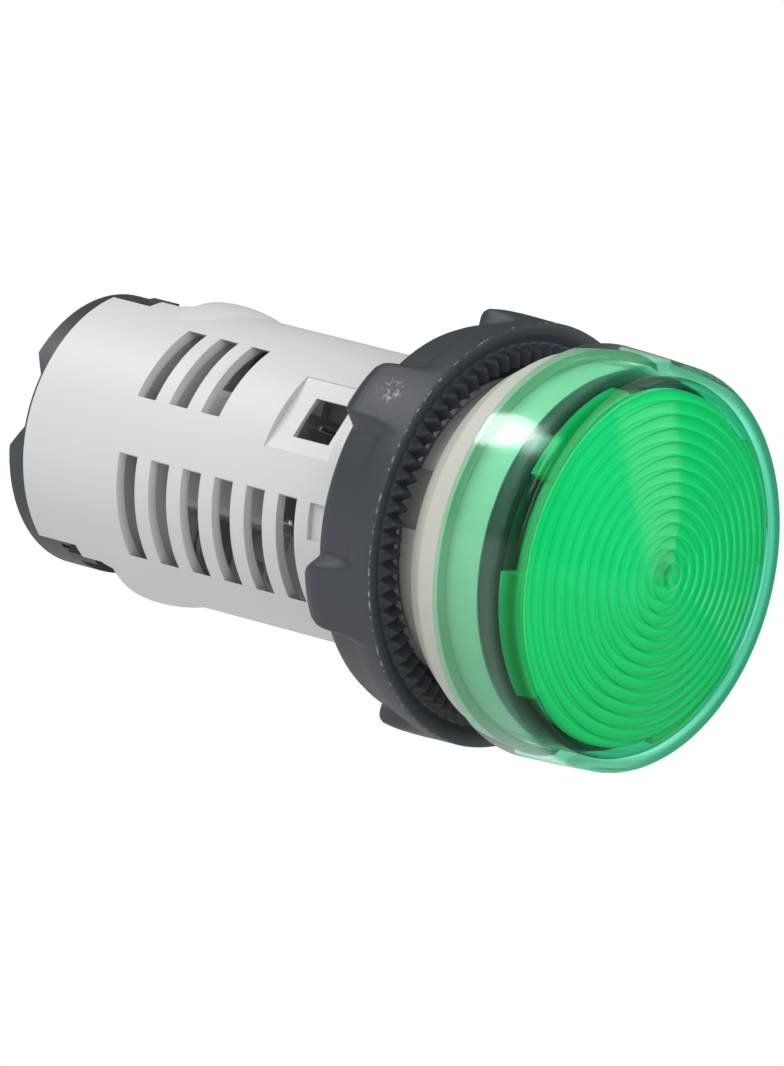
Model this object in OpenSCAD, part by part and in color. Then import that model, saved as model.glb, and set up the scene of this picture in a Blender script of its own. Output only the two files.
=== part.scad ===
// Panel pilot light with a screw-clamp rear, millimetres.
// Origin: centre of the panel seat (rear face of the gasket).
// +Y runs along the lamp axis to the rear, the lens looks along -Y,
// and the two terminals sit one above the other on Z.

/* [Lens] */
// How far the lens cap stands out past the neck
lens_over = 3.6; // [3:0.1:6]
// Distance the rim stands in front of the panel seat
rim_y = 3.8; // [2.5:0.1:6]
// Length of the lens skirt, rim to shoulder
skirt_l = 6.9; // [5:0.1:10]
// Rise of the domed disc
dome_h = 2.1; // [1:0.1:3]
// Wall of the cap
lens_wall = 1.2; // [0.8:0.1:2]
// Pitch of the concentric lens rings
ring_pitch = 0.91; // [0.6:0.01:1.5]
// Depth of the lens rings
ring_depth = 0.13; // [0.05:0.01:0.3]
// Wall of the diffuser cup
cup_wall = 0.75; // [0.6:0.05:1.2]
// Arc of each rear tab of the diffuser, degrees
tab_arc = 43; // [20:1:50]

/* [Neck and gasket] */
// Outer radius of the threaded neck
neck_r = 10.9; // [9:0.1:14]
// Length of the neck behind the panel seat
neck_l = 9.6; // [7:0.1:14]
// Pitch of the thread on the neck
thread_pitch = 1.5; // [1:0.25:2]
// Width of each keyway along the neck
key_w = 4.2; // [2:0.1:6]
// Depth of each keyway
key_depth = 0.8; // [0.4:0.1:1.2]
// How far the gasket stands out past the neck
gasket_over = 3; // [2:0.1:5]
// Width of the gasket's flat that bears on the panel
seat_w = 0.5; // [0.4:0.1:2]

/* [Fixing nut] */
// Width of the nut flange outside the teeth
nut_rim = 1.7; // [1:0.1:4]
// Distance from the panel seat to the tooth crests
nut_y = 1.3; // [1:0.1:6]
// Thickness of the nut over its teeth
nut_h = 6.4; // [5:0.1:9]
// How far the grip lugs run past the nut's rear edge
lug_past = 0.8; // [0:0.1:2]
// Number of biting teeth
tooth_n = 72; // [24:1:90]
// Height of each tooth
tooth_h = 0.6; // [0.3:0.05:1]
// Number of grip lugs
lug_n = 6; // [3:1:8]
// Width of each grip lug
lug_w = 5.4; // [3:0.1:7]
// Running clearance of the nut on the neck
nut_gap = 0.05; // [0.02:0.01:0.1]

/* [Housing] */
// Step from the neck down to the barrel
body_step = 0.6; // [0.4:0.1:2]
// Distance from the panel seat to the rear edge of the housing
body_l = 38.5; // [34:0.1:50]
// Wall of the neck
neck_wall = 1.8; // [1.2:0.1:2.4]
// Wall of the barrel
body_wall = 0.8; // [0.6:0.1:1.4]
// Thickness of the cross wall in front of the terminals
bulk_t = 0.9; // [0.6:0.1:1.4]
// Width of a ventilation slot
slot_w = 1.7; // [1:0.1:2.2]
// Pitch of the ventilation slots
slot_pitch = 3; // [2.5:0.1:4]
// Number of slots in the long row
slot_n = 6; // [3:1:6]

/* [Terminals] */
// Distance of each terminal screw from the block's rim
term_in = 4.1; // [4:0.1:4.5]
// Length the terminal block stands out behind the housing
block_out = 2.1; // [1:0.1:4]
// Radius of each screw well
well_r = 3.2; // [3:0.05:3.3]
// Radius of each screw head
head_r = 2.8; // [2.5:0.05:3]
// Radius of each screw shank
shank_r = 1.45; // [1.2:0.05:1.5]
// Travel of each clamp plate
clamp_travel = 2.8; // [1.5:0.1:3]
// Thickness of each clamp plate
plate_t = 1; // [0.8:0.1:1.4]
// Thickness of each contact strip
strip_t = 0.9; // [0.6:0.1:1.2]
// Half width of each wire mouth
mouth_x = 3.5; // [2.5:0.1:4]

/* [Circuit] */
// Thickness of the circuit board
pcb_t = 1.2; // [0.8:0.1:1.6]
// Gap between the circuit board's edges and the neck's bore
pcb_gap = 1.1; // [0.8:0.1:2]
// Radius of the lamp itself
led_r = 2.5; // [1.5:0.1:3]

/* [Hidden] */
$fn = 96;
eps = 0.01;
fit = 0.05;
// radii that follow the neck
lens_r = neck_r + lens_over;
gasket_r = neck_r + gasket_over;
gasket_bore = neck_r + 0.5;
seat_r = gasket_bore + seat_w;
body_r = neck_r - body_step;
neck_bore = neck_r - neck_wall;
bore_r = body_r - body_wall;
// lens
shoulder_y = -rim_y - skirt_l;
shoulder_r = lens_r - 1.4;
dome_r = (shoulder_r * shoulder_r + dome_h * dome_h) / (2 * dome_h);
ring_start = 1;
ring_n = floor((shoulder_r - 0.2 - ring_start) / ring_pitch);
skirt_bore = lens_r - lens_wall;
// front of the housing
collar_r = skirt_bore - 0.3;
collar_y = -rim_y - 2.8;
seal_y = collar_y - 1.5;
cone_y = collar_y - 0.6;
cup_r = skirt_bore - 0.35;
flat_y = dome(skirt_bore - 0.9, lens_wall);
ledge_y = 0.6;
ledge_t = 1.2;
// thread
thread_depth = 0.4;
thread_y = 2.2;
// nut
nut_bore = neck_r + nut_gap;
nut_rear = nut_y + nut_h;
tooth_in = seat_r + 0.04;
tooth_out = tooth_in + 1.26;
nut_r = tooth_out + nut_rim;
lug_rear = nut_rear + lug_past;
bowl_y = nut_y + tooth_h + 0.7;
// rear of the housing, measured forward from its rear edge
rear_bore = bore_r + 0.25;
seat_y = body_l - 8.9;
bulk_y = seat_y - 3;
bulge_y = body_l - 7.7;
block_r = rear_bore - fit;
block_rear = body_l + block_out;
term_z = block_r - term_in;
roof_y = body_l - 1.1;
plate_y = roof_y - plate_t;
strip_top = plate_y - clamp_travel - 1.7;
strip_y = strip_top - strip_t;
boss_y = strip_y - 1.6;
tip_y = boss_y + 0.4;
tip_hole_y = tip_y - clamp_travel - 0.2;
head_h = 1.9;
plate_hole = shank_r + 0.15;
strip_hole = shank_r + 0.05;
chamber_x = mouth_x + 0.5;
chamber_z = term_z - 3.4;
plate_z0 = term_z - 3.1;
plate_z1 = term_z + 3.1;
leg_z0 = 1.6;
leg_t = 0.8;
// circuit
pcb_x = 1;
pcb_front = ledge_y + ledge_t + 1.4;
pcb_rear = min(bulk_y - 0.4, tip_hole_y - 0.6);
pcb_z = neck_bore - pcb_gap;
led_board_r = neck_bore - 0.5;
pin_z = 4.3;
cap_front = pcb_rear - 9.4;
slot_y0 = seat_y - 0.25 - slot_w;
long_n = min(slot_n, floor((slot_y0 - neck_l - 2.8) / slot_pitch) + 1);

// Profile points are [radius, distance along +Y]
module lathe(points) {
  rotate([-90, 0, 0])
    rotate_extrude()
      polygon(points = points);
}

// Turns a shape drawn at +X to the angle a, counted from +X towards +Z
module at_angle(a) {
  rotate([0, -a, 0])
    children();
}

module twice() {
  children();
  rotate([0, 180, 0])
    children();
}

module both_terminals() {
  children();
  mirror([0, 0, 1])
    children();
}

module rod(r, y0, y1) {
  translate([0, y0, 0])
    rotate([-90, 0, 0])
      cylinder(r = r, h = y1 - y0);
}

// Ring sector between two angles
module sector(r0, r1, y0, y1, a0, a1) {
  rotate([-90, 0, 0])
    rotate([0, 0, -a1])
      rotate_extrude(angle = a1 - a0)
        translate([r0, y0])
          square([r1 - r0, y1 - y0]);
}

// Rings of a thread, drawn as V grooves cut into a wall
function grooves(r, d, p, y0, n) = [
  for (i = [0 : n - 1], k = [0 : 2])
    [k == 1 ? r - d : r, y0 + p * i + p * (0.12 + 0.38 * k)]
];

// ---------------------------------------------------------------- lens
function dome(r, off) = shoulder_y - dome_h + dome_r - sqrt(pow(dome_r, 2) - r * r) + off;

module lens_cap() {
  color([0.05, 0.72, 0.4])
    difference() {
      lathe(concat(
        [[0, dome(0, 0)], [ring_start, dome(ring_start, 0)]],
        [for (i = [0 : ring_n - 1], k = [0 : 1])
          let (r = ring_start + ring_pitch * (i + (k == 0 ? 0.02 : 0.86)))
          [r, dome(r, k * ring_depth)]],
        [
          [shoulder_r - 0.16, dome(shoulder_r - 0.16, 0.1)],
          [shoulder_r, shoulder_y],
          [lens_r - 0.9, shoulder_y + 0.08],
          [lens_r - 0.55, shoulder_y + 0.28],
          [lens_r - 0.36, shoulder_y + 0.62],
          [lens_r - 0.28, shoulder_y + 1],
          [lens_r, -rim_y],
          [skirt_bore + 0.1, -rim_y],
          [skirt_bore, -rim_y - 1.6],
          [skirt_bore, flat_y]
        ],
        [for (i = [5 : -1 : 0])
          let (r = (skirt_bore - 0.9) * i / 5)
          [r, dome(r, lens_wall)]]
      ));
      // dimple at the middle of the disc
      translate([0, shoulder_y - dome_h - 1.45, 0])
        sphere(r = 1.75);
      // shallow pads that mark the snap points inside the skirt
      for (a = [169.4, 189.2, -10.6, 9.2])
        sector(skirt_bore - 1, skirt_bore + 0.3, -rim_y - 1.5, -rim_y + 1, a - 5, a + 5);
    }
}

// Green cup behind the disc, with four tabs that reach back to the seal
module lens_diffuser() {
  color([0, 0.7, 0.3])
    difference() {
      lathe(concat(
        [for (i = [0 : 5])
          let (r = (cup_r - 0.5) * i / 5)
          [r, dome(r, lens_wall + 0.25)]],
        [
          [cup_r - 0.45, flat_y],
          [cup_r, flat_y],
          [cup_r, seal_y - 0.34],
          [cup_r - cup_wall, seal_y - 0.34],
          [cup_r - cup_wall, dome(cup_r, lens_wall + 1.1)]
        ],
        [for (i = [5 : -1 : 0])
          let (r = (cup_r - cup_wall - 0.1) * i / 5)
          [r, dome(r, lens_wall + 0.9)]]
      ));
      // gaps between the tabs: wide at the top and bottom, narrow at the sides
      for (g = [[0, 36.5], [90, 53.5], [180, 36.5], [270, 53.5]])
        sector(cup_r - cup_wall - 0.5, cup_r + 1, dome(cup_r, lens_wall + 1.25), seal_y + 1,
          g[0] - g[1] + tab_arc / 2, g[0] + g[1] - tab_arc / 2);
    }
}

module lens_seal() {
  color([0.2, 0.23, 0.25])
    lathe([
      [collar_r - 0.95, collar_y],
      [collar_r - 0.95, seal_y + 0.2],
      [collar_r - 0.75, seal_y],
      [collar_r, seal_y],
      [collar_r + 0.2, seal_y + 0.2],
      [collar_r + 0.2, seal_y + 1],
      [collar_r - 0.15, seal_y + 1.1],
      [collar_r - 0.15, collar_y]
    ]);
}

module reflector() {
  color([0.93, 0.93, 0.9])
    lathe([
      [collar_r - 1, cone_y],
      [10.2, cone_y],
      [led_r + 0.5, -2.7],
      [led_r + 0.5, -2.1],
      [led_r + 1.3, -2.1],
      [10.6, collar_y + 0.03],
      [10.6, collar_y],
      [collar_r - 1, collar_y]
    ]);
}

// ---------------------------------------------------------------- lamp
module led_board() {
  color([0.85, 0.86, 0.82])
    difference() {
      rod(led_board_r, ledge_y - 1.2, ledge_y);
      // holes for the pins
      for (z = [-pin_z, pin_z])
        translate([pcb_x - 0.35, 0, z])
          rod(0.35, ledge_y - 2, ledge_y + 1);
      // locating notch
      translate([led_board_r - 0.7, ledge_y - 2, -0.9])
        cube([2, 3, 1.8]);
    }
}

module led_lamp() {
  color([0.75, 0.9, 0.75]) {
    difference() {
      lathe([
        [0, ledge_y - 1.2],
        [led_r + 0.4, ledge_y - 1.2],
        [led_r + 0.4, ledge_y - 2],
        [led_r, ledge_y - 2],
        [led_r, ledge_y - 3.4],
        [0, ledge_y - 3.4]
      ]);
      // flat that marks the cathode side
      translate([led_r + 0.1, ledge_y - 2.1, -3])
        cube([1, 1, 6]);
    }
    translate([0, ledge_y - 3.4, 0])
      difference() {
        sphere(r = led_r);
        translate([-5, 0, -5])
          cube([10, 10, 10]);
      }
  }
}

module board_pins() {
  color([0.8, 0.78, 0.7])
    for (z = [-pin_z, pin_z])
      translate([pcb_x - 0.35, 0, z])
        rod(0.35, ledge_y - 1.6, pcb_front + 2.6);
}

// ---------------------------------------------------------------- gasket
module panel_gasket() {
  color([0.72, 0.71, 0.66])
    lathe([
      [gasket_bore, -rim_y],
      [gasket_r, -rim_y],
      [gasket_r - 0.4, -1.7],
      [seat_r + 0.75, -0.3],
      [seat_r + 0.55, -0.1],
      [seat_r, 0],
      [gasket_bore, 0]
    ]);
}

// ---------------------------------------------------------------- housing
module body_shell() {
  lathe(concat(
    [
      [collar_r, collar_y],
      [collar_r, -rim_y],
      [neck_r + 0.35, -rim_y],
      [neck_r + 0.35, 0.05],
      [neck_r, 0.7]
    ],
    grooves(neck_r, thread_depth, thread_pitch, thread_y,
      floor((neck_l - thread_y - 0.3) / thread_pitch)),
    [
      [neck_r, neck_l],
      [body_r, neck_l + 0.4],
      [body_r, body_l - 0.2],
      [body_r - 0.2, body_l],
      [rear_bore + 0.1, body_l],
      [rear_bore, body_l - 0.1],
      [rear_bore, seat_y],
      [bore_r, seat_y],
      [bore_r, neck_l + 1],
      [neck_bore, neck_l],
      [neck_bore, ledge_y + ledge_t],
      [neck_bore - 1.1, ledge_y + ledge_t],
      [neck_bore - 1.1, ledge_y],
      [neck_bore, ledge_y],
      [neck_bore, collar_y + 1.7],
      [neck_bore + 1.75, collar_y]
    ]
  ));
}

// Wall across the barrel, open for the screw ends and the contact legs
module cross_wall() {
  difference() {
    rod(bore_r + 0.2, bulk_y, bulk_y + bulk_t);
    both_terminals() {
      translate([0, 0, term_z])
        rod(2.9, bulk_y - 1, bulk_y + 3);
      translate([-2.5, bulk_y - 1, leg_z0 - 0.2])
        cube([pcb_x + 2.8, bulk_t + 2, leg_t + 0.4]);
    }
  }
}

// Swelling of the barrel over each terminal
module bulge() {
  translate([0, bulge_y, 2.25])
    rotate([-90, 0, 0])
      rotate_extrude()
        intersection() {
          translate([body_r - 11.23, 0])
            circle(r = 9.5);
          translate([0, -3.3])
            square([12, 6.6]);
        }
}

// Box cut straight in from -X, between two distances along the axis and two heights
module side_cut(y0, y1, z0, z1) {
  translate([-body_r - 2, y0, z0])
    cube([body_r - 1, y1 - y0, z1 - z0]);
}

// Height on the barrel at an angle from -X
function rise(a) = body_r * sin(a);

module vents() {
  // long row
  for (i = [0 : long_n - 1])
    side_cut(slot_y0 - slot_pitch * i, slot_y0 - slot_pitch * i + slot_w, -rise(55.3), -rise(11.3));
  // short row
  for (i = [0 : 2])
    side_cut(slot_y0 - slot_pitch * i, slot_y0 - slot_pitch * i + slot_w, rise(11.7), rise(47.7));
  // sunk panel with its window
  at_angle(158)
    translate([body_r - 0.5, neck_l + 1.3, -3])
      cube([3, 5.9, 6]);
  side_cut(neck_l + 2.1, neck_l + 5.4, rise(11.6), rise(29.7));
  // blind pocket
  at_angle(198.8)
    translate([body_r - 0.4, neck_l + 0.25, -1.3])
      cube([2, 1.55, 2.6]);
}

module body_housing() {
  color([0.86, 0.86, 0.84]) {
    difference() {
      union() {
        body_shell();
        both_terminals()
          bulge();
      }
      rod(bore_r, neck_l + 1, seat_y + eps);
      rod(rear_bore, seat_y, body_l + 1);
      // keyways
      twice()
        translate([neck_r - key_depth, -rim_y + 0.6, -key_w / 2])
          cube([3, neck_l + rim_y - 0.2, key_w]);
      // mouths of the terminals
      both_terminals() {
        translate([-5.4, body_l - 3.7, 6])
          cube([10.8, 5, 8]);
        translate([-chamber_x - 0.3, body_l - 6.7, 6])
          cube([2 * chamber_x + 0.6, 6, 8]);
      }
      twice()
        vents();
    }
    cross_wall();
    // rails that hold the circuit board
    both_terminals()
      for (x = [pcb_x - 0.75, pcb_x + pcb_t + 0.05])
        intersection() {
          translate([x, ledge_y + ledge_t - 0.2, pcb_z - 0.8])
            cube([0.7, 7, 5]);
          rod(neck_bore + 0.3, 0, 30);
        }
  }
}

// ---------------------------------------------------------------- nut
module tooth_gap() {
  translate([tooth_in - 0.5, 0, 0])
    rotate([90, 0, 90])
      linear_extrude(height = 1.86)
        polygon(points = [
          [nut_y - 0.3, -0.75],
          [nut_y - 0.3, 0.75],
          [nut_y, 0.5],
          [nut_y + tooth_h, 0.02],
          [nut_y + tooth_h, -0.02],
          [nut_y, -0.5]
        ]);
}

// Outline of a grip lug: a slab with round rear corners
module lug_outline(r) {
  union() {
    translate([nut_y + 0.8, -lug_w / 2])
      square([lug_rear - nut_y - 0.8 - r, lug_w]);
    translate([nut_y + 0.8, -lug_w / 2 + r])
      square([lug_rear - nut_y - 0.8, lug_w - 2 * r]);
    for (s = [-1, 1])
      translate([lug_rear - r, s * (lug_w / 2 - r)])
        circle(r = r);
  }
}

module lug() {
  intersection() {
    lathe([
      [nut_r - 2.7, nut_y + 0.8],
      [nut_r - 0.05, nut_y + 0.8],
      [nut_r, nut_rear - 1],
      [nut_r - 0.18, nut_rear - 0.3],
      [nut_r - 0.6, lug_rear - 0.5],
      [nut_r - 1.1, lug_rear - 0.12],
      [nut_r - 1.7, lug_rear],
      [nut_r - 2.7, lug_rear]
    ]);
    translate([8, 0, 0])
      rotate([90, 0, 90])
        linear_extrude(height = 10)
          lug_outline(1.7);
  }
}

module fixing_nut() {
  color([0.27, 0.3, 0.33])
    difference() {
      union() {
        lathe(concat(
          [
            [nut_bore, bowl_y],
            [tooth_in, bowl_y],
            [tooth_in, nut_y],
            [tooth_out, nut_y],
            [tooth_out, nut_y + 0.34],
            [nut_r - 0.1, nut_y + 0.25],
            [nut_r, nut_y + 0.36],
            [nut_r - 0.1, nut_y + 1.4],
            [nut_r - 0.4, nut_y + 2.46],
            [nut_r - 0.5, nut_y + 2.6],
            [nut_r - 1.15, nut_rear - 0.95],
            [nut_r - 1.5, nut_rear - 0.3],
            [nut_r - 2, nut_rear]
          ],
          [[nut_bore, nut_rear]]
        ));
        for (i = [0 : lug_n - 1])
          at_angle(34.5 + 360 / lug_n * i)
            lug();
      }
      for (i = [0 : tooth_n - 1])
        at_angle(360 / tooth_n * i)
          tooth_gap();
      // lead-in and thread roots of the bore
      for (i = [0 : 2])
        lathe([
          [nut_bore - 0.5, bowl_y + 0.5 + thread_pitch * i],
          [nut_bore + 0.35, bowl_y + 0.95 + thread_pitch * i],
          [nut_bore - 0.5, bowl_y + 1.4 + thread_pitch * i]
        ]);
    }
}

// ---------------------------------------------------------------- terminals
module block_solid() {
  difference() {
    union() {
      lathe([
        [0, seat_y],
        [block_r, seat_y],
        [block_r, block_rear - 0.4],
        [block_r - 0.4, block_rear],
        [0, block_rear]
      ]);
      both_terminals() {
        // lip of the wire mouth
        intersection() {
          translate([-chamber_x - 0.2, body_l - 4.6, 7])
            cube([2 * chamber_x + 0.4, 2.4, 5]);
          rod(body_r - 0.1, seat_y, body_l);
        }
        // nose round the screw's end
        translate([0, 0, term_z])
          rod(2.6, tip_hole_y - 0.5, seat_y + 0.2);
      }
    }
    // channel between the terminals, kept clear of the screw wells
    difference() {
      translate([-15, 0, 0])
        rotate([90, 0, 90])
          linear_extrude(height = 30)
            polygon(points = [
              [block_rear - 1.6, -1.9],
              [block_rear + 0.1, -4.02],
              [block_rear + 0.1, 4.02],
              [block_rear - 1.6, 1.9]
            ]);
      both_terminals()
        translate([0, 0, term_z])
          rod(well_r + 0.7, block_rear - 3, block_rear + 3);
    }
  }
}

module terminal_block() {
  color([0.25, 0.28, 0.31])
    difference() {
      block_solid();
      both_terminals() {
        // screw well, chamber and mouth
        translate([0, 0, term_z])
          rod(well_r, roof_y - 1, block_rear + 1);
        translate([-chamber_x, strip_top, chamber_z])
          cube([2 * chamber_x, roof_y - strip_top, plate_z1 + 0.3 - chamber_z]);
        translate([-mouth_x, strip_top + fit, chamber_z])
          cube([2 * mouth_x, roof_y - strip_top - 0.5, 12]);
        // seat of the contact strip
        translate([-mouth_x, strip_y, leg_z0])
          cube([2 * mouth_x, strip_t + 1, plate_z1 - 0.1 - leg_z0]);
        translate([0, 0, term_z])
          rod(2.35, boss_y, strip_y + eps);
        translate([0, 0, term_z])
          rod(shank_r + 0.25, tip_hole_y, boss_y + eps);
        translate([-2.3, seat_y - 1, leg_z0 - 0.05])
          cube([3.3 + fit, strip_y - seat_y + 2, leg_t + 0.1]);
      }
    }
}

module contact_strip() {
  translate([-mouth_x, strip_y, leg_z0])
    cube([2 * mouth_x, strip_t, plate_z1 - 0.1 - leg_z0]);
  translate([0, 0, term_z])
    rod(2.3, boss_y, strip_y + 0.1);
  // leg down to the board and its soldered foot
  translate([-2.2, bulk_y, leg_z0])
    cube([pcb_x + 2.2, strip_y - bulk_y + 0.1, leg_t]);
  translate([pcb_x - 0.8, pcb_rear - 4.6, leg_z0])
    cube([0.8, bulk_y + 0.3 - pcb_rear + 4.6, leg_t]);
  translate([pcb_x - 0.8, pcb_rear - 4.6, leg_z0])
    cube([0.8, 2.8, 4.6]);
}

module strip_bore() {
  translate([0, 0, term_z])
    rod(strip_hole, boss_y - 1, strip_top + 1);
}

module contact_strip_1() {
  color([0.83, 0.7, 0.42])
    difference() {
      contact_strip();
      strip_bore();
    }
}

module contact_strip_2() {
  color([0.83, 0.7, 0.42])
    mirror([0, 0, 1])
      difference() {
        contact_strip();
        strip_bore();
      }
}

module clamp_plate() {
  difference() {
    translate([-mouth_x - 0.2, plate_y, plate_z0])
      cube([2 * mouth_x + 0.4, plate_t, plate_z1 - plate_z0]);
    translate([0, 0, term_z])
      rod(plate_hole, plate_y - 1, roof_y + 1);
    // grip grooves under the plate
    for (x = [-3.1, -2.3, 2.3, 3.1])
      translate([x - 0.15, plate_y - 0.1, plate_z0 - 1])
        cube([0.3, 0.3, 10]);
  }
}

module clamp_plate_1() {
  color([0.75, 0.76, 0.78])
    clamp_plate();
}

module clamp_plate_2() {
  color([0.75, 0.76, 0.78])
    mirror([0, 0, 1])
      clamp_plate();
}

module terminal_screw(turn) {
  translate([0, 0, term_z])
    difference() {
      lathe(concat(
        [
          [0, roof_y + head_h],
          [head_r - 0.45, roof_y + head_h],
          [head_r, roof_y + head_h - 0.45],
          [head_r, roof_y],
          [shank_r, roof_y]
        ],
        [for (i = [0 : floor((roof_y - tip_y - 1.2) / 0.5) - 1], k = [0 : 2])
          [k == 1 ? shank_r - 0.24 : shank_r, roof_y - 0.6 - 0.5 * i - (0.05 + 0.2 * k)]],
        [
          [shank_r, tip_y + 0.4],
          [shank_r - 0.4, tip_y],
          [0, tip_y]
        ]
      ));
      // slot and cross recess
      rotate([0, turn, 0]) {
        translate([-3, roof_y + head_h - 0.9, -0.4])
          cube([6, 2, 0.8]);
        translate([-0.4, roof_y + head_h - 1.25, -1.5])
          cube([0.8, 2, 3]);
      }
    }
}

module terminal_screw_1() {
  color([0.78, 0.79, 0.8])
    terminal_screw(25);
}

module terminal_screw_2() {
  color([0.78, 0.79, 0.8])
    mirror([0, 0, 1])
      terminal_screw(-40);
}

// ---------------------------------------------------------------- circuit
module circuit_board() {
  color([0.2, 0.42, 0.25])
    difference() {
      translate([pcb_x, pcb_front, -pcb_z])
        cube([pcb_t, pcb_rear - pcb_front, 2 * pcb_z]);
      for (s = [-1, 1])
        translate([0, pcb_front - 1, s * pcb_z - 0.8])
          cube([4, 2.2, 1.6]);
    }
}

// Bead of solder on the board's face, round whatever stands in it
module bead(y, z, r) {
  intersection() {
    translate([pcb_x + r * 0.3, y, z])
      sphere(r = r);
    translate([pcb_x - 3, y - 3, z - 3])
      cube([3, 6, 6]);
  }
}

lead_r = 0.32;
res_x = pcb_x - 2.4;
res_z = 3.4;
res_y0 = pcb_front + 3.4;
res_l = 6.4;
cap_x0 = pcb_x - 8.4;
cap_x1 = pcb_x - 2.2;
cap_z = 4.2;
cap_lead_x = cap_x0 + 1.2;

module board_solder() {
  color([0.8, 0.81, 0.82])
    difference() {
      union() {
        both_terminals()
          bead(pcb_rear - 2.2, leg_z0 + 5.5, 1.15);
        both_terminals()
          bead(pcb_rear - 4.4, leg_z0 + 5.2, 0.9);
        for (z = [-pin_z, pin_z])
          bead(pcb_front + 2.2, z, 0.9);
        for (z = [-res_z, res_z]) {
          bead(res_y0 + res_l + 1.2, z, 0.75);
          bead(cap_front - 1, z, 0.85);
        }
      }
      board_pins();
      component_leads();
      both_terminals()
        contact_strip();
    }
}

module resistor(z) {
  translate([res_x, 0, z])
    lathe([
      [0, res_y0],
      [1.1, res_y0],
      [1.3, res_y0 + 0.2],
      [1.3, res_y0 + res_l * 0.2],
      [1.12, res_y0 + res_l * 0.28],
      [1.12, res_y0 + res_l * 0.72],
      [1.3, res_y0 + res_l * 0.8],
      [1.3, res_y0 + res_l - 0.2],
      [1.1, res_y0 + res_l],
      [0, res_y0 + res_l]
    ]);
}

module resistor_1() {
  color([0.45, 0.62, 0.75])
    resistor(res_z);
}

module resistor_2() {
  color([0.45, 0.62, 0.75])
    resistor(-res_z);
}

// Wire that leaves a body at (x, y), runs l along Y and turns to the board
module bent_lead(x, y, z, l) {
  translate([x, 0, z]) {
    rod(lead_r, min(y, y + l), max(y, y + l));
    translate([0, y + l, 0]) {
      sphere(r = lead_r);
      rotate([0, 90, 0])
        cylinder(r = lead_r, h = pcb_x - x);
    }
  }
}

module component_leads() {
  color([0.8, 0.8, 0.8])
    for (z = [-1, 1]) {
      bent_lead(res_x, res_y0 + res_l, z * res_z, 1.2);
      bent_lead(res_x, res_y0, z * res_z, -0.6);
      bent_lead(cap_lead_x, cap_front, z * 3.4, -1);
    }
}

// Film capacitor, the largest part on the board
module capacitor() {
  color([0.62, 0.62, 0.6])
    difference() {
      translate([cap_x0, cap_front, -cap_z])
        cube([cap_x1 - cap_x0, pcb_rear - 0.3 - cap_front, 2 * cap_z]);
      // bevelled long edges
      for (s = [-1, 1])
        translate([cap_x0, 0, s * cap_z])
          rotate([0, 45, 0])
            translate([-0.3, cap_front - 1, -0.3])
              cube([0.6, 12, 0.6]);
    }
}

module rectifier() {
  color([0.12, 0.12, 0.13])
    difference() {
      translate([pcb_x - 2.6, pcb_front + 5, -1.7])
        cube([2.6, 5.4, 3.3]);
      translate([pcb_x - 3, pcb_front + 5.8, 0])
        rotate([0, 90, 0])
          cylinder(r = 0.45, h = 0.6);
    }
}

module varistor() {
  color([0.2, 0.35, 0.6])
    translate([pcb_x + pcb_t, pcb_front + 9, 1.5])
      rotate([0, 90, 0])
        cylinder(r = 3.1, h = 2.6);
}

module zener_diode() {
  color([0.75, 0.3, 0.15])
    translate([pcb_x - 0.8, 0, -pcb_z + 1.2])
      rod(0.8, pcb_front + 7.6, pcb_front + 11);
}

lens_cap();
lens_diffuser();
lens_seal();
reflector();
led_board();
led_lamp();
board_pins();
panel_gasket();
body_housing();
fixing_nut();
terminal_block();
contact_strip_1();
contact_strip_2();
clamp_plate_1();
clamp_plate_2();
terminal_screw_1();
terminal_screw_2();
circuit_board();
board_solder();
component_leads();
resistor_1();
resistor_2();
capacitor();
rectifier();
varistor();
zener_diode();
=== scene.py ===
import bpy
import numpy as np
from mathutils import Matrix, Vector


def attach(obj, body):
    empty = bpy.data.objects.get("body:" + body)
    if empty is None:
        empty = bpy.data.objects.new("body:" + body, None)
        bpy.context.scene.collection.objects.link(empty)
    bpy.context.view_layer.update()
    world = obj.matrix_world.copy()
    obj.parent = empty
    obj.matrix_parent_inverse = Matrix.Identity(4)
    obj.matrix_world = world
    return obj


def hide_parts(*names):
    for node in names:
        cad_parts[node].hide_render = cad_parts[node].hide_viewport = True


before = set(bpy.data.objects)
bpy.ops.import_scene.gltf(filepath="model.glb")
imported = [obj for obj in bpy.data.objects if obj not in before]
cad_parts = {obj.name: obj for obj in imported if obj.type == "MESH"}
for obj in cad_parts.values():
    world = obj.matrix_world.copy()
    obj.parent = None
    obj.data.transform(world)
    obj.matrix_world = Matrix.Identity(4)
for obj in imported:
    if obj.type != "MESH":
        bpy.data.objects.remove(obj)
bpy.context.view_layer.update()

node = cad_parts
mm = 0.001


# Lens cap: one clear green polycarbonate moulding with a domed disc and a smooth skirt.
# Its disc carries concentric saw-tooth rings round a small dimple, and its rim reaches back
# to the gasket. Turned here as one closed shell, so that light bends through a real wall.

lens_radius = 14.5 * mm
lens_rim = -3.85 * mm
lens_shoulder = -10.7 * mm
lens_bore = 13.3 * mm
lens_draft = 0.1 * mm
shoulder_round = 0.95 * mm
shoulder_fall = 0.16 * mm
disc_radius = 13.1 * mm
disc_curve = 41.9 * mm
disc_wall = 0.75 * mm
disc_groove = 0.16 * mm
dimple_depth = 0.32 * mm
dimple_edge = 0.8 * mm
ring_pitch = 0.91 * mm
ring_start = 1.9 * mm - ring_pitch
ring_step = 0.16 * mm
ring_slope = 0.86
ring_count = 13
lens_columns = 288

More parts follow.
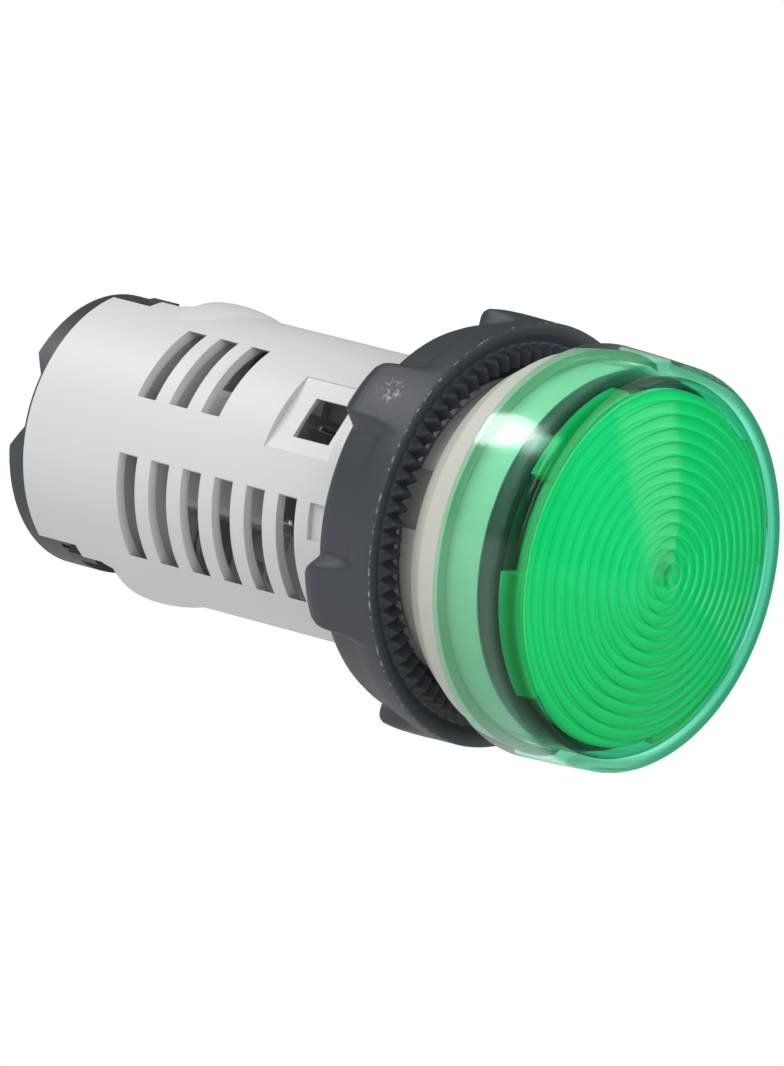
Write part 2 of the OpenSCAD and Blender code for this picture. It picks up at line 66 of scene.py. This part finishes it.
skirt_tint = (0.6, 0.97, 0.76)
skirt_edge_tint = (0.2, 0.88, 0.52)
disc_tint = (0.12, 0.98, 0.66)
disc_edge_tint = (0.02, 0.34, 0.16)
disc_tint_starts = -8.6 * mm
disc_tint_full = -9.9 * mm
shoulder_tint = (0.05, 0.32, 0.16)
shoulder_tint_starts = 12.9 * mm
shoulder_tint_full = 13.5 * mm
# Painted shade on each ring: the place across the ring and its grey, darkest at the step.
painted_ring_tones = ((0.05, 1), (0.72, 0.82), (0.86, 0.62), (0.93, 1))


def dome(radius):
    """Distance along Y of the disc's sphere at radius r: shoulder + sqrt(R^2 - e^2)
    - sqrt(R^2 - r^2), with the sphere's radius R and the disc's edge at radius e."""
    edge = np.sqrt(disc_curve**2 - disc_radius**2)
    return lens_shoulder + edge - np.sqrt(disc_curve**2 - np.asarray(radius) ** 2)


def eased(corners, rounds, steps=5):
    """Profile with each corner replaced by a quadratic arc: b + (a-b)(1-t)^2 + (c-b)t^2,
    where a and c lie on the two sides at the rounding length from the corner b."""
    out = [corners[:1]]
    t = np.linspace(0, 1, steps)[:, None]
    for i in range(1, len(corners) - 1):
        back = corners[i - 1] - corners[i]
        on = corners[i + 1] - corners[i]
        reach = min(rounds[i], 0.48 * np.linalg.norm(back), 0.48 * np.linalg.norm(on))
        a = back / np.linalg.norm(back) * reach
        c = on / np.linalg.norm(on) * reach
        out.append(corners[i] + a * (1 - t) ** 2 + c * t**2)
    out.append(corners[-1:])
    return np.concatenate(out)


def around(radii, along):
    """Points on circles about Y: (r cos a, y, r sin a), with one row of the arrays for each
    circle and one column for each angle a."""
    angle = np.linspace(0, 2 * np.pi, radii.shape[1], endpoint=False)
    return np.stack((radii * np.cos(angle), along, radii * np.sin(angle)), axis=-1)


def bands(here, after):
    """Four-sided faces between rows of point numbers and the rows after them, joined round."""
    faces = np.stack((here, after, np.roll(after, -1, 1), np.roll(here, -1, 1)), axis=-1)
    return faces.reshape(-1, 4).tolist()


def new_piece(name, points, faces, smooth):
    """An object from points, faces and one smooth or flat mark for each face."""
    mesh = bpy.data.meshes.new(name)
    mesh.from_pydata(points.reshape(-1, 3).tolist(), [], faces)
    mesh.polygons.foreach_set("use_smooth", smooth)
    piece = bpy.data.objects.new(name, mesh)
    bpy.context.scene.collection.objects.link(piece)
    return piece


def turned(name, profile, columns):
    """Solid turned about Y from a profile of rows (r, y) that starts and ends on the axis.
    The rows between are circles, and a fan of triangles closes each end."""
    rows = profile[1:-1]
    radii = np.repeat(rows[:, :1], columns, axis=1)
    along = np.repeat(rows[:, 1:], columns, axis=1)
    poles = [[0, profile[0, 1], 0], [0, profile[-1, 1], 0]]
    points = np.vstack((around(radii, along).reshape(-1, 3), poles))
    ids = np.arange(radii.size).reshape(radii.shape)
    first = ids[0]
    last = ids[-1]
    start = np.full(columns, radii.size)
    faces = bands(ids[:-1], ids[1:])
    faces += np.stack((start, first, np.roll(first, -1)), axis=-1).tolist()
    faces += np.stack((start + 1, np.roll(last, -1), last), axis=-1).tolist()
    return new_piece(name, points, faces, np.ones(len(faces), bool))


# Rows of radius, distance along Y and rounding, from the dimple over the rim to the disc's
# back. Each ring is a slope that sinks behind the dome, then a short step back to it.
groove_radius = disc_radius - disc_groove
cap_rows = [
    [0, dome(0) + dimple_depth, 0],
    [0.35 * mm, dome(0) + 0.27 * mm, 0.2 * mm],
    [dimple_edge, dome(dimple_edge) + 0.02 * mm, 0.15 * mm],
]
for i in range(ring_count):
    crest = ring_start + ring_pitch * i
    root = crest + ring_pitch * ring_slope
    cap_rows += [
        [crest + 0.02 * mm, dome(crest) - ring_step * 0.15, 0.04 * mm],
        [root, dome(root) + ring_step, 0.05 * mm],
    ]
cap_rows += [
    [groove_radius, dome(groove_radius) + 0.1 * mm, 0.08 * mm],
    [disc_radius, lens_shoulder - 0.03 * mm, 0.1 * mm],
    [lens_radius - 0.32 * mm, lens_shoulder + shoulder_fall, shoulder_round],
    [lens_radius - lens_draft, lens_shoulder + 3.9 * mm, 0.5 * mm],
    [lens_radius, lens_rim, 0.08 * mm],
    [lens_bore, lens_rim, 0.08 * mm],
    [lens_bore, dome(lens_bore - 0.3 * mm) + disc_wall, 0.25 * mm],
    [lens_bore * 0.66, dome(lens_bore * 0.66) + disc_wall, 3 * mm],
    [lens_bore * 0.33, dome(lens_bore * 0.33) + disc_wall, 3 * mm],
    [0, dome(0) + disc_wall, 0],
]
cap_rows = np.array(cap_rows)
lens = turned("lens_shell", eased(cap_rows[:, :2], cap_rows[:, 2]), lens_columns)


def new_finish(name):
    """An empty finish: the material, its node tree and its Principled shader."""
    finish = bpy.data.materials.new(name)
    finish.use_nodes = True
    tree = finish.node_tree
    return finish, tree, tree.nodes["Principled BSDF"]


def feed(tree, port, value):
    """Links another node's output to a port, or sets the port to a number or a colour."""
    if isinstance(value, bpy.types.NodeSocket):
        tree.links.new(value, port)
    else:
        port.default_value = value


def reckon(tree, operation, *values):
    """Output of a Math node that works on these numbers or outputs."""
    step = tree.nodes.new("ShaderNodeMath")
    step.operation = operation
    for port, value in zip(step.inputs, values):
        feed(tree, port, value)
    return step.outputs[0]


def fade(tree, source, start, end, curve):
    """Goes from 0 where the source is at start to 1 where it is at end."""
    fading = tree.nodes.new("ShaderNodeMapRange")
    fading.interpolation_type = curve
    fading.inputs["From Min"].default_value = start
    fading.inputs["From Max"].default_value = end
    tree.links.new(source, fading.inputs["Value"])
    return fading.outputs["Result"]


def blend(tree, amount, first, second, way="MIX"):
    """Colour that goes from first to second by amount; each is (r, g, b) or an output."""
    mixing = tree.nodes.new("ShaderNodeMix")
    mixing.data_type = "RGBA"
    mixing.blend_type = way
    tree.links.new(amount, mixing.inputs["Factor"])
    for port, colour in (("A", first), ("B", second)):
        if isinstance(colour, tuple):
            colour = (*colour, 1)
        feed(tree, mixing.inputs[port], colour)
    return mixing.outputs["Result"]


def object_spot(tree):
    """Place on the piece, and its distance along Y."""
    spot = tree.nodes.new("ShaderNodeTexCoord").outputs["Object"]
    split = tree.nodes.new("ShaderNodeSeparateXYZ")
    tree.links.new(spot, split.inputs[0])
    return spot, split.outputs["Y"]


def off_axis(tree, spot):
    """Distance of a place from the lamp's axis: the length of (x, 0, z)."""
    flattened = tree.nodes.new("ShaderNodeVectorMath")
    flattened.operation = "MULTIPLY"
    flattened.inputs[1].default_value = (1, 0, 1)
    tree.links.new(spot, flattened.inputs[0])
    length = tree.nodes.new("ShaderNodeVectorMath")
    length.operation = "LENGTH"
    tree.links.new(flattened.outputs[0], length.inputs[0])
    return length.outputs["Value"]


# The tint deepens in the thick front, in the shoulder and where the wall is seen edge-on. Each
# ring is painted darker towards its step, as painted shade. A clear coat carries the surface
# gloss, and the low refraction keeps what lies behind in place.
lens_finish, tree, shader = new_finish("clear_green_lens")
spot, along_axis = object_spot(tree)
radius = off_axis(tree, spot)
in_front = fade(tree, along_axis, disc_tint_starts, disc_tint_full, "SMOOTHSTEP")
in_shoulder = fade(tree, radius, shoulder_tint_starts, shoulder_tint_full, "SMOOTHSTEP")
# Place across each ring, from 0 to 1: the fraction of (r - start) / pitch.
ring_place = reckon(tree, "MULTIPLY_ADD", radius, 1 / ring_pitch, -ring_start / ring_pitch)
# Painted shade: each ring darkens in a band towards its step, in place of the dark lines its
# facets show.
painted_ring_shade = tree.nodes.new("ShaderNodeValToRGB")
tones = painted_ring_shade.color_ramp.elements
tones[0].position = painted_ring_tones[0][0]
tones[1].position = painted_ring_tones[-1][0]
for place, grey in painted_ring_tones[1:-1]:
    tones.new(place)
for tone, (place, grey) in zip(tones, painted_ring_tones):
    tone.color = (grey, grey, grey, 1)
tree.links.new(reckon(tree, "FRACT", ring_place), painted_ring_shade.inputs["Fac"])
edge_on = tree.nodes.new("ShaderNodeLayerWeight")
edge_on.inputs["Blend"].default_value = 0.35
tint = blend(tree, in_front, skirt_tint, disc_tint)
tint = blend(tree, in_front, tint, painted_ring_shade.outputs["Color"], "MULTIPLY")
tint = blend(tree, reckon(tree, "MULTIPLY", in_shoulder, in_front), tint, shoulder_tint)
edge_tint = blend(tree, in_front, skirt_edge_tint, disc_edge_tint)
tint = blend(tree, edge_on.outputs["Facing"], tint, edge_tint)
tree.links.new(tint, shader.inputs["Base Color"])
shader.inputs["Roughness"].default_value = 0.02
shader.inputs["IOR"].default_value = 1.015
shader.inputs["Transmission Weight"].default_value = 1
coat = tree.nodes.new("ShaderNodeMapRange")
coat.inputs["To Min"].default_value = 1
coat.inputs["To Max"].default_value = 0.45
tree.links.new(in_front, coat.inputs["Value"])
tree.links.new(coat.outputs["Result"], shader.inputs["Coat Weight"])
shader.inputs["Coat IOR"].default_value = 1.5
shader.inputs["Coat Roughness"].default_value = 0.13
lens.data.materials.append(lens_finish)
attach(lens, "housing")
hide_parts("lens_cap")


# Diffuser: a green moulded cup that sits behind the disc and spreads the lamp's light.
# Its four rear tabs show through the cap's skirt as brighter blocks. The rim between them is
# cut back to the disc.

tab_centre = np.radians([36.5, 143.5, 216.5, 323.5])
tab_half = np.radians(21.5)
tab_blend = 0.012
cup_disc = 12.45 * mm
cup_skirt = 12.95 * mm
cup_rear = -8.44 * mm
cup_gap = 0.12 * mm
cup_round = 0.12 * mm
cup_wall = 0.78 * mm
cup_columns = 720


def build_moulded_skin():
    """Group for every opaque piece. Colour: the input times 1 + mottle (slow noise - 0.5).
    Roughness: sheen + 0.12 fine noise. Normal: bevelled edges with the fine noise as grain."""
    group = bpy.data.node_groups.new("moulded_skin", "ShaderNodeTree")
    ports = group.interface
    ports.new_socket("Colour", in_out="INPUT", socket_type="NodeSocketColor")
    for label in ("Mottle", "Grain", "Height", "Sheen"):
        ports.new_socket(label, in_out="INPUT", socket_type="NodeSocketFloat")
    ports.new_socket("Colour", in_out="OUTPUT", socket_type="NodeSocketColor")
    ports.new_socket("Roughness", in_out="OUTPUT", socket_type="NodeSocketFloat")
    ports.new_socket("Normal", in_out="OUTPUT", socket_type="NodeSocketVector")
    enter = group.nodes.new("NodeGroupInput")
    leave = group.nodes.new("NodeGroupOutput")
    place = group.nodes.new("ShaderNodeTexCoord")
    slow = group.nodes.new("ShaderNodeTexNoise")
    slow.inputs["Scale"].default_value = 260
    slow.inputs["Detail"].default_value = 4
    group.links.new(place.outputs["Object"], slow.inputs["Vector"])
    fine = group.nodes.new("ShaderNodeTexNoise")
    fine.inputs["Detail"].default_value = 3
    group.links.new(place.outputs["Object"], fine.inputs["Vector"])
    group.links.new(enter.outputs["Grain"], fine.inputs["Scale"])
    swing = reckon(group, "SUBTRACT", slow.outputs["Fac"], 0.5)
    swing = reckon(group, "MULTIPLY", swing, enter.outputs["Mottle"])
    tinted = group.nodes.new("ShaderNodeVectorMath")
    tinted.operation = "SCALE"
    group.links.new(enter.outputs["Colour"], tinted.inputs[0])
    group.links.new(reckon(group, "ADD", swing, 1), tinted.inputs["Scale"])
    group.links.new(tinted.outputs[0], leave.inputs["Colour"])
    rough = reckon(group, "MULTIPLY_ADD", fine.outputs["Fac"], 0.12, enter.outputs["Sheen"])
    group.links.new(rough, leave.inputs["Roughness"])
    soft_edge = group.nodes.new("ShaderNodeBevel")
    soft_edge.samples = 4
    soft_edge.inputs["Radius"].default_value = 0.09 * mm
    bump = group.nodes.new("ShaderNodeBump")
    group.links.new(soft_edge.outputs["Normal"], bump.inputs["Normal"])
    group.links.new(enter.outputs["Height"], bump.inputs["Distance"])
    group.links.new(fine.outputs["Fac"], bump.inputs["Height"])
    group.links.new(bump.outputs["Normal"], leave.inputs["Normal"])
    return group


moulded_skin = build_moulded_skin()


def moulded_finish(name, colour, mottle, grain, height, sheen):
    """A moulded plastic or rubber finish: the skin group feeds one Principled shader."""
    finish, tree, shader = new_finish(name)
    skin = tree.nodes.new("ShaderNodeGroup")
    skin.node_tree = moulded_skin
    skin.inputs["Colour"].default_value = (*colour, 1)
    skin.inputs["Mottle"].default_value = mottle
    skin.inputs["Grain"].default_value = grain
    skin.inputs["Height"].default_value = height
    skin.inputs["Sheen"].default_value = sheen
    for port, out in (("Base Color", "Colour"), ("Roughness", "Roughness"), ("Normal", "Normal")):
        tree.links.new(skin.outputs[out], shader.inputs[port])
    return finish


def ring_piece(name, radii, along, smooth):
    """Closed ring from arrays of radius and distance along Y, one row for each line of its
    section: each row is joined to the next and the last row to the first."""
    ids = np.arange(radii.size).reshape(radii.shape)
    faces = bands(ids, np.roll(ids, -1, 0))
    return new_piece(name, around(radii, along), faces, np.repeat(smooth, radii.shape[1]))


# Tab goes from 0 between the tabs to 1 on them. The section runs out along the cup's front,
# back over its rim, and in again behind.
cup_angle = np.linspace(0, 2 * np.pi, cup_columns, endpoint=False)
away = np.abs((cup_angle[:, None] - tab_centre + np.pi) % (2 * np.pi) - np.pi).min(axis=1)
tab = np.clip((tab_half - away) / tab_blend + 0.5, 0, 1)
all_round = np.ones(cup_columns)
cup_front = dome(cup_disc) + disc_wall + cup_gap
cup_back = disc_wall + cup_gap + cup_wall
rim_short = cup_front + 0.65 * mm
rim = cup_disc + (cup_skirt - cup_disc) * tab
rim_rear = rim_short + (cup_rear - rim_short) * tab
disc_radii = cup_disc * np.array([0.01, 0.2, 0.4, 0.6, 0.8, 0.96])
cup_rows = [
    (out * all_round, (dome(out) + disc_wall + cup_gap) * all_round) for out in disc_radii
]
cup_rows += [
    (rim - cup_round, cup_front * all_round),
    (rim, (cup_front + cup_round) * all_round),
    (rim, rim_rear - 0.08 * mm),
    (rim - 0.08 * mm, rim_rear),
    (rim - 0.7 * mm, rim_rear),
    (rim - 0.75 * mm, (cup_front + 0.6 * mm) * all_round),
]
cup_rows += [(out * all_round, (dome(out) + cup_back) * all_round) for out in disc_radii[-2::-1]]
cup_radii, cup_along = np.stack(cup_rows, axis=1)
cup = ring_piece("diffuser_cup", cup_radii, cup_along, np.ones(len(cup_rows), bool))
cup.data.materials.append(
    moulded_finish("diffuser_green", (0.0, 0.86, 0.45), 0.03, 9000, 0.00001, 0.4)
)
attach(cup, "housing")
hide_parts("lens_diffuser")


# Seal: a charcoal rubber ring. It is stretched over the housing's collar and keeps water out
# from between the collar and the cap's skirt.


def dress(name, finish):
    """Puts a finish on a piece whose shape is kept as it comes."""
    node[name].data.materials.clear()
    node[name].data.materials.append(finish)


dress("lens_seal", moulded_finish("seal_rubber", (0.03, 0.038, 0.045), 0.1, 6000, 0.00001, 0.35))


# Reflector: a white moulded cone that stands round the lamp inside the collar and sends its
# light forward to the cup.

dress("reflector", moulded_finish("reflector_white", (0.8, 0.8, 0.77), 0.05, 6000, 0.00001, 0.3))


# Lamp: a clear resin lamp soldered on a small round board that rests on the housing's ledge.
# Two pins behind it lead to the circuit board and share its tin.

dress("led_board", moulded_finish("lamp_board", (0.68, 0.7, 0.64), 0.05, 9000, 0.00001, 0.35))
dress("led_lamp", moulded_finish("lamp_resin", (0.5, 0.8, 0.5), 0.03, 9000, 0.000002, 0.12))


# Gasket: a soft warm-grey moulded ring on the neck, behind the collar. The nut draws it
# against the panel's front.

dress("panel_gasket", moulded_finish("gasket_grey", (0.56, 0.56, 0.5), 0.06, 8000, 0.00001, 0.45))


# Housing: one light grey glass-filled moulding with a collar, a keyed neck that carries the
# nut, and a barrel whose slots let out the heat of the boards.

housing_finish = moulded_finish("housing_grey", (0.64, 0.638, 0.626), 0.035, 11000, 0.000008, 0.42)
dress("body_housing", housing_finish)


# Fixing nut: charcoal moulding on the neck, with 72 biting teeth in front and six grip lugs
# round it, one of which keeps the pale scuff of its moulding gate. Its surface is a turned
# section whose rows move with the angle at the teeth and the lugs.

nut_rim = 14.9 * mm
nut_bore = 10.95 * mm
nut_rear = 8.5 * mm
nut_ledge = 2.62 * mm
tooth_in = 11.94 * mm
tooth_out = 13.2 * mm
tooth_tip = 1.3 * mm
tooth_height = 0.8 * mm
tooth_round = 0.1
tooth_count = 72
tooth_columns = 12
lug_count = 6
lug_first = np.radians(34.5)
lug_half = 2.7 * mm
lug_corner = 2 * mm
lug_blend = 1.1 * mm
side_rows = 34
crisp_rows = 8
gate_scuff = (-13.4 * mm, 4.6 * mm, 6.65 * mm)
gate_size = 1.5 * mm
worn_line = (14.86 * mm, 1.6 * mm, 0)
worn_tint = (0.42, 0.44, 0.5)

nut_angle = np.linspace(0, 2 * np.pi, tooth_count * tooth_columns, endpoint=False)
# Fall of the teeth: 0 at a tip and 1 at a root, as sqrt(phase^2 + round^2) with the phase
# running evenly from 0 to 1, so that only the tip is rounded.
phase = np.abs((nut_angle * tooth_count / (2 * np.pi) + 0.5) % 1 - 0.5) * 2
tooth_fall = np.sqrt(phase**2 + tooth_round**2) - tooth_round
tooth_fall = np.clip(tooth_fall / (1 - tooth_round), 0, 1)
lug_turn = 2 * np.pi / lug_count
lug_away = (nut_angle - lug_first + lug_turn / 2) % lug_turn - lug_turn / 2
lug_across = np.abs(lug_away) * nut_rim

# Sections of the nut's side in mm, from front to rear, between the lugs and on them.
hub_section = [
    [14.9, 1.72], [14.88, 2.2], [14.78, 3], [14.6, 3.75], [14.38, 4], [14.1, 5.2],
    [13.8, 6.6], [13.55, 7.2], [13.2, 7.6], [12.8, 7.7], [12.3, 7.7], [12.1, 7.7],
]
lug_section = [
    [14.9, 1.72], [14.9, 2.6], [14.92, 3.6], [14.95, 4.6], [14.96, 5.6], [14.94, 6.4],
    [14.86, 7], [14.6, 7.6], [14.15, 8.15], [13.5, 8.45], [12.7, 8.5], [12.1, 7.75],
]


def finer(section):
    """Section with straight steps between its rows, as radius and distance along Y."""
    stops = np.arange(len(section))
    places = np.linspace(0, len(section) - 1, side_rows)
    columns = [np.interp(places, stops, column) for column in np.transpose(section)]
    return np.stack(columns, axis=1)[:, :, None] * mm


hub = finer(hub_section)
lug = finer(lug_section)
# The lug's half width narrows along a quarter circle towards its rear end.
run = np.clip((lug[:, 1] - nut_rear + lug_corner) / lug_corner, 0, 0.98)
half = lug_half - lug_corner * (1 - np.sqrt(1 - run**2))
rise = np.clip((half - lug_across) / lug_blend + 0.5, 0, 1)
rise = rise**2 * (3 - 2 * rise)
side = hub + (lug - hub) * rise[:, None]


def at_angles(section):
    """Radius r and distance along Y of each section row at each angle: y + s h f, with the
    row's share s, the tooth height h and the fall f at that angle."""
    radii, along, share = np.transpose(section)[:, :, None]
    return radii + 0 * nut_angle, along + share * tooth_height * tooth_fall


# Rows of radius, distance along Y and share in the teeth's fall. In front: the ledge, the
# teeth's inner wall, their tips, the channel outside them and the rim. Behind: the bore.
front_section = [
    [tooth_in, nut_ledge, 0],
    [tooth_in, nut_ledge - 0.37 * mm, 0],
    [tooth_in, tooth_tip + 0.04 * mm, 1],
    [tooth_in + 0.04 * mm, tooth_tip, 1],
    [tooth_out - 0.28 * mm, tooth_tip, 1],
    [tooth_out - 0.2 * mm, tooth_tip + 0.06 * mm, 0.93],
    [tooth_out + 0.12 * mm, tooth_tip + 0.7 * mm, 0.12],
    [tooth_out + 0.3 * mm, tooth_tip + 0.75 * mm, 0],
    [nut_rim - 0.9 * mm, tooth_tip + 0.44 * mm, 0],
    [nut_rim - 0.18 * mm, tooth_tip + 0.22 * mm, 0],
    [nut_rim - 0.05 * mm, tooth_tip + 0.25 * mm, 0],
]
back_section = [
    [nut_bore + 0.55 * mm, nut_rear - 0.8 * mm, 0],
    [nut_bore + 0.25 * mm, nut_rear - 0.88 * mm, 0],
    [nut_bore, nut_rear - 1.2 * mm, 0],
    [nut_bore, nut_ledge + 0.38 * mm, 0],
    [nut_bore + 0.25 * mm, nut_ledge + 0.06 * mm, 0],
]
front_radii, front_along = at_angles(front_section)
back_radii, back_along = at_angles(back_section)
nut_radii = np.concatenate((front_radii, side[:, 0], back_radii))
nut_along = np.concatenate((front_along, side[:, 1], back_along))
nut = ring_piece("nut_moulding", nut_radii, nut_along, np.arange(len(nut_radii)) >= crisp_rows)


def near(tree, spot, place, start, end, curve):
    """Goes from 0 at the distance start from a place to 1 at the distance end."""
    gap = tree.nodes.new("ShaderNodeVectorMath")
    gap.operation = "DISTANCE"
    gap.inputs[1].default_value = place
    tree.links.new(spot, gap.inputs[0])
    return fade(tree, gap.outputs["Value"], start, end, curve)


nut_finish = moulded_finish("nut_charcoal", (0.036, 0.045, 0.055), 0.12, 7000, 0.00002, 0.42)
# Pale marks: the gate scuff, and specks along the worn line of the rim, which is found in the
# plane of radius and Y. Noise breaks up both.
tree = nut_finish.node_tree
shader = tree.nodes["Principled BSDF"]
skin_colour = shader.inputs["Base Color"].links[0].from_socket
spot, along_axis = object_spot(tree)
on_scuff = near(tree, spot, gate_scuff, gate_size, 0.2 * mm, "SMOOTHSTEP")
in_plane = tree.nodes.new("ShaderNodeCombineXYZ")
tree.links.new(off_axis(tree, spot), in_plane.inputs["X"])
tree.links.new(along_axis, in_plane.inputs["Y"])
on_rim = near(tree, in_plane.outputs[0], worn_line, 0.08 * mm, 0.02 * mm, "LINEAR")
flecks = tree.nodes.new("ShaderNodeTexNoise")
flecks.inputs["Scale"].default_value = 2600
flecks.inputs["Detail"].default_value = 5
tree.links.new(spot, flecks.inputs["Vector"])
broken = fade(tree, flecks.outputs["Fac"], 0.5, 0.72, "LINEAR")
marks = reckon(tree, "MULTIPLY", reckon(tree, "MAXIMUM", on_scuff, on_rim), broken)
tree.links.new(blend(tree, marks, skin_colour, worn_tint), shader.inputs["Base Color"])
nut.data.materials.append(nut_finish)
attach(nut, "nut")
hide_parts("fixing_nut")


# Terminal block: charcoal moulding pushed into the rear of the housing, with two screw wells
# and two wire mouths. Its end inside the barrel is painted a paler grey, as painted light that
# brightens what the slots show of it.

block_inner = 29.7 * mm
block_end_painted_light = (0.5, 0.5, 0.48)

block_finish = moulded_finish("block_charcoal", (0.045, 0.052, 0.062), 0.1, 7000, 0.00002, 0.4)
tree = block_finish.node_tree
shader = tree.nodes["Principled BSDF"]
skin_colour = shader.inputs["Base Color"].links[0].from_socket
spot, along_axis = object_spot(tree)
# Painted light: the block's end inside the barrel turns a paler grey.
inner = fade(tree, along_axis, block_inner + 0.05 * mm, block_inner - 0.05 * mm, "LINEAR")
tree.links.new(blend(tree, inner, skin_colour, block_end_painted_light), shader.inputs["Base Color"])
dress("terminal_block", block_finish)


# Terminal hardware, one set for each wire: a tinned brass strip with a leg to the board, and
# a zinc-plated screw in a ribbed clamp plate, which the screw draws towards the strip.


def metal_finish(name, colour, roughness):
    """Plated or drawn metal: the skin group with strong mottle and a coarse grain."""
    finish = moulded_finish(name, colour, 0.25, 3000, 0.00001, roughness)
    finish.node_tree.nodes["Principled BSDF"].inputs["Metallic"].default_value = 1
    return finish


strip_finish = metal_finish("strip_tinned", (0.78, 0.77, 0.73), 0.25)
zinc = metal_finish("plated_zinc", (0.66, 0.67, 0.68), 0.22)
for end in ("1", "2"):
    dress("contact_strip_" + end, strip_finish)
    dress("clamp_plate_" + end, zinc)
    dress("terminal_screw_" + end, zinc)


# Circuit board: a white laminate in the barrel, with two resistors, a capacitor, a
# rectifier, a varistor and a diode, all held by bright leads and beads of solder.

tin = metal_finish("bright_tin", (0.8, 0.8, 0.78), 0.12)
resistor_finish = moulded_finish("resistor_coat", (0.2, 0.36, 0.52), 0.1, 5000, 0.00001, 0.3)
dress("circuit_board", moulded_finish("board_white", (0.8, 0.8, 0.77), 0.06, 5000, 0.00001, 0.3))
dress("board_solder", tin)
dress("component_leads", tin)
dress("board_pins", tin)
dress("resistor_1", resistor_finish)
dress("resistor_2", resistor_finish)
dress("capacitor", moulded_finish("capacitor_case", (0.5, 0.5, 0.48), 0.05, 5000, 0.00001, 0.3))
dress("rectifier", moulded_finish("rectifier_resin", (0.02, 0.02, 0.022), 0.1, 5000, 0.00002, 0.4))
dress("varistor", moulded_finish("varistor_coat", (0.05, 0.12, 0.35), 0.1, 5000, 0.00002, 0.3))
dress("zener_diode", moulded_finish("diode_glass", (0.5, 0.08, 0.02), 0.1, 5000, 0.000001, 0.1))


# Studio: a pale floor well below the lamp, a white surround and four soft panels. The small
# round panel is the one that glints on the cap's skirt.

floor_height = -0.075
floor_size = 3
surround_level = 0.5
mirrored_level = 0.12
# The frame's right and up, and the way from the lamp to the camera.
right = Vector((0.6003, -0.7427, 0.2967))
up = Vector((-0.2306, 0.1944, 0.9535))
toward = Vector((-0.7658, -0.6408, -0.0546))
middle = Vector((0, 0.012, 0))


def panel(name, place, shape, size, power):
    """A soft panel of light at place, turned to the lamp's middle."""
    light = bpy.data.lights.new(name, "AREA")
    light.shape = shape
    light.size = size[0]
    light.size_y = size[1]
    light.energy = power
    lamp = bpy.data.objects.new(name, light)
    lamp.location = place
    lamp.rotation_euler = (middle - Vector(place)).to_track_quat("-Z", "Y").to_euler()
    bpy.context.scene.collection.objects.link(lamp)


key_place = middle + up * 0.5 - right * 0.28 + toward * 0.38
side_place = middle + right * 0.7 + toward * 0.05
panel("key_panel", key_place, "RECTANGLE", (0.35, 0.35), 1.5)
panel("spark_panel", (-0.254, 0.31, 0.308), "DISK", (0.15, 0.15), 0.7)
panel("side_panel", side_place, "RECTANGLE", (0.3, 0.5), 1.2)
panel("front_panel", (-0.4, -0.85, 0.2), "RECTANGLE", (0.5, 0.5), 2.4)

bpy.ops.mesh.primitive_plane_add(size=floor_size, location=(0, 0, floor_height))
floor = bpy.context.object
floor.name = "floor"
floor_finish, tree, shader = new_finish("pale_floor")
shader.inputs["Base Color"].default_value = (0.8, 0.8, 0.8, 1)
shader.inputs["Roughness"].default_value = 0.7
floor.data.materials.append(floor_finish)

# The surround is white to the camera and through the cap, dimmer as light on the lamp, and
# dimmer still where the lamp mirrors it.
world = bpy.data.worlds.new("surround")
bpy.context.scene.world = world
world.use_nodes = True
tree = world.node_tree
ray = tree.nodes.new("ShaderNodeLightPath").outputs
seen = reckon(tree, "MAXIMUM", ray["Is Camera Ray"], ray["Is Transmission Ray"])
change = mirrored_level - surround_level
unseen = reckon(tree, "MULTIPLY_ADD", ray["Is Glossy Ray"], change, surround_level)
glow = tree.nodes["Background"]
glow.inputs["Color"].default_value = (1, 1, 1, 1)
tree.links.new(reckon(tree, "MAXIMUM", seen, unseen), glow.inputs["Strength"])

bpy.context.scene.view_settings.view_transform = "Standard"


# Camera: a long lens, nearly level with the lamp's axis and rolled, so that the axis leans in
# the frame.

focal_length = 446.27
camera_place = Vector((-0.70026, -0.57395, -0.05184))

long_lens = bpy.data.cameras.new("camera")
long_lens.lens = focal_length
long_lens.sensor_width = 36
long_lens.clip_start = 0.01
camera = bpy.data.objects.new("camera", long_lens)
turn = Matrix((right, up, toward)).transposed()
camera.matrix_world = Matrix.Translation(camera_place) @ turn.to_4x4()
bpy.context.scene.collection.objects.link(camera)
bpy.context.scene.camera = camera
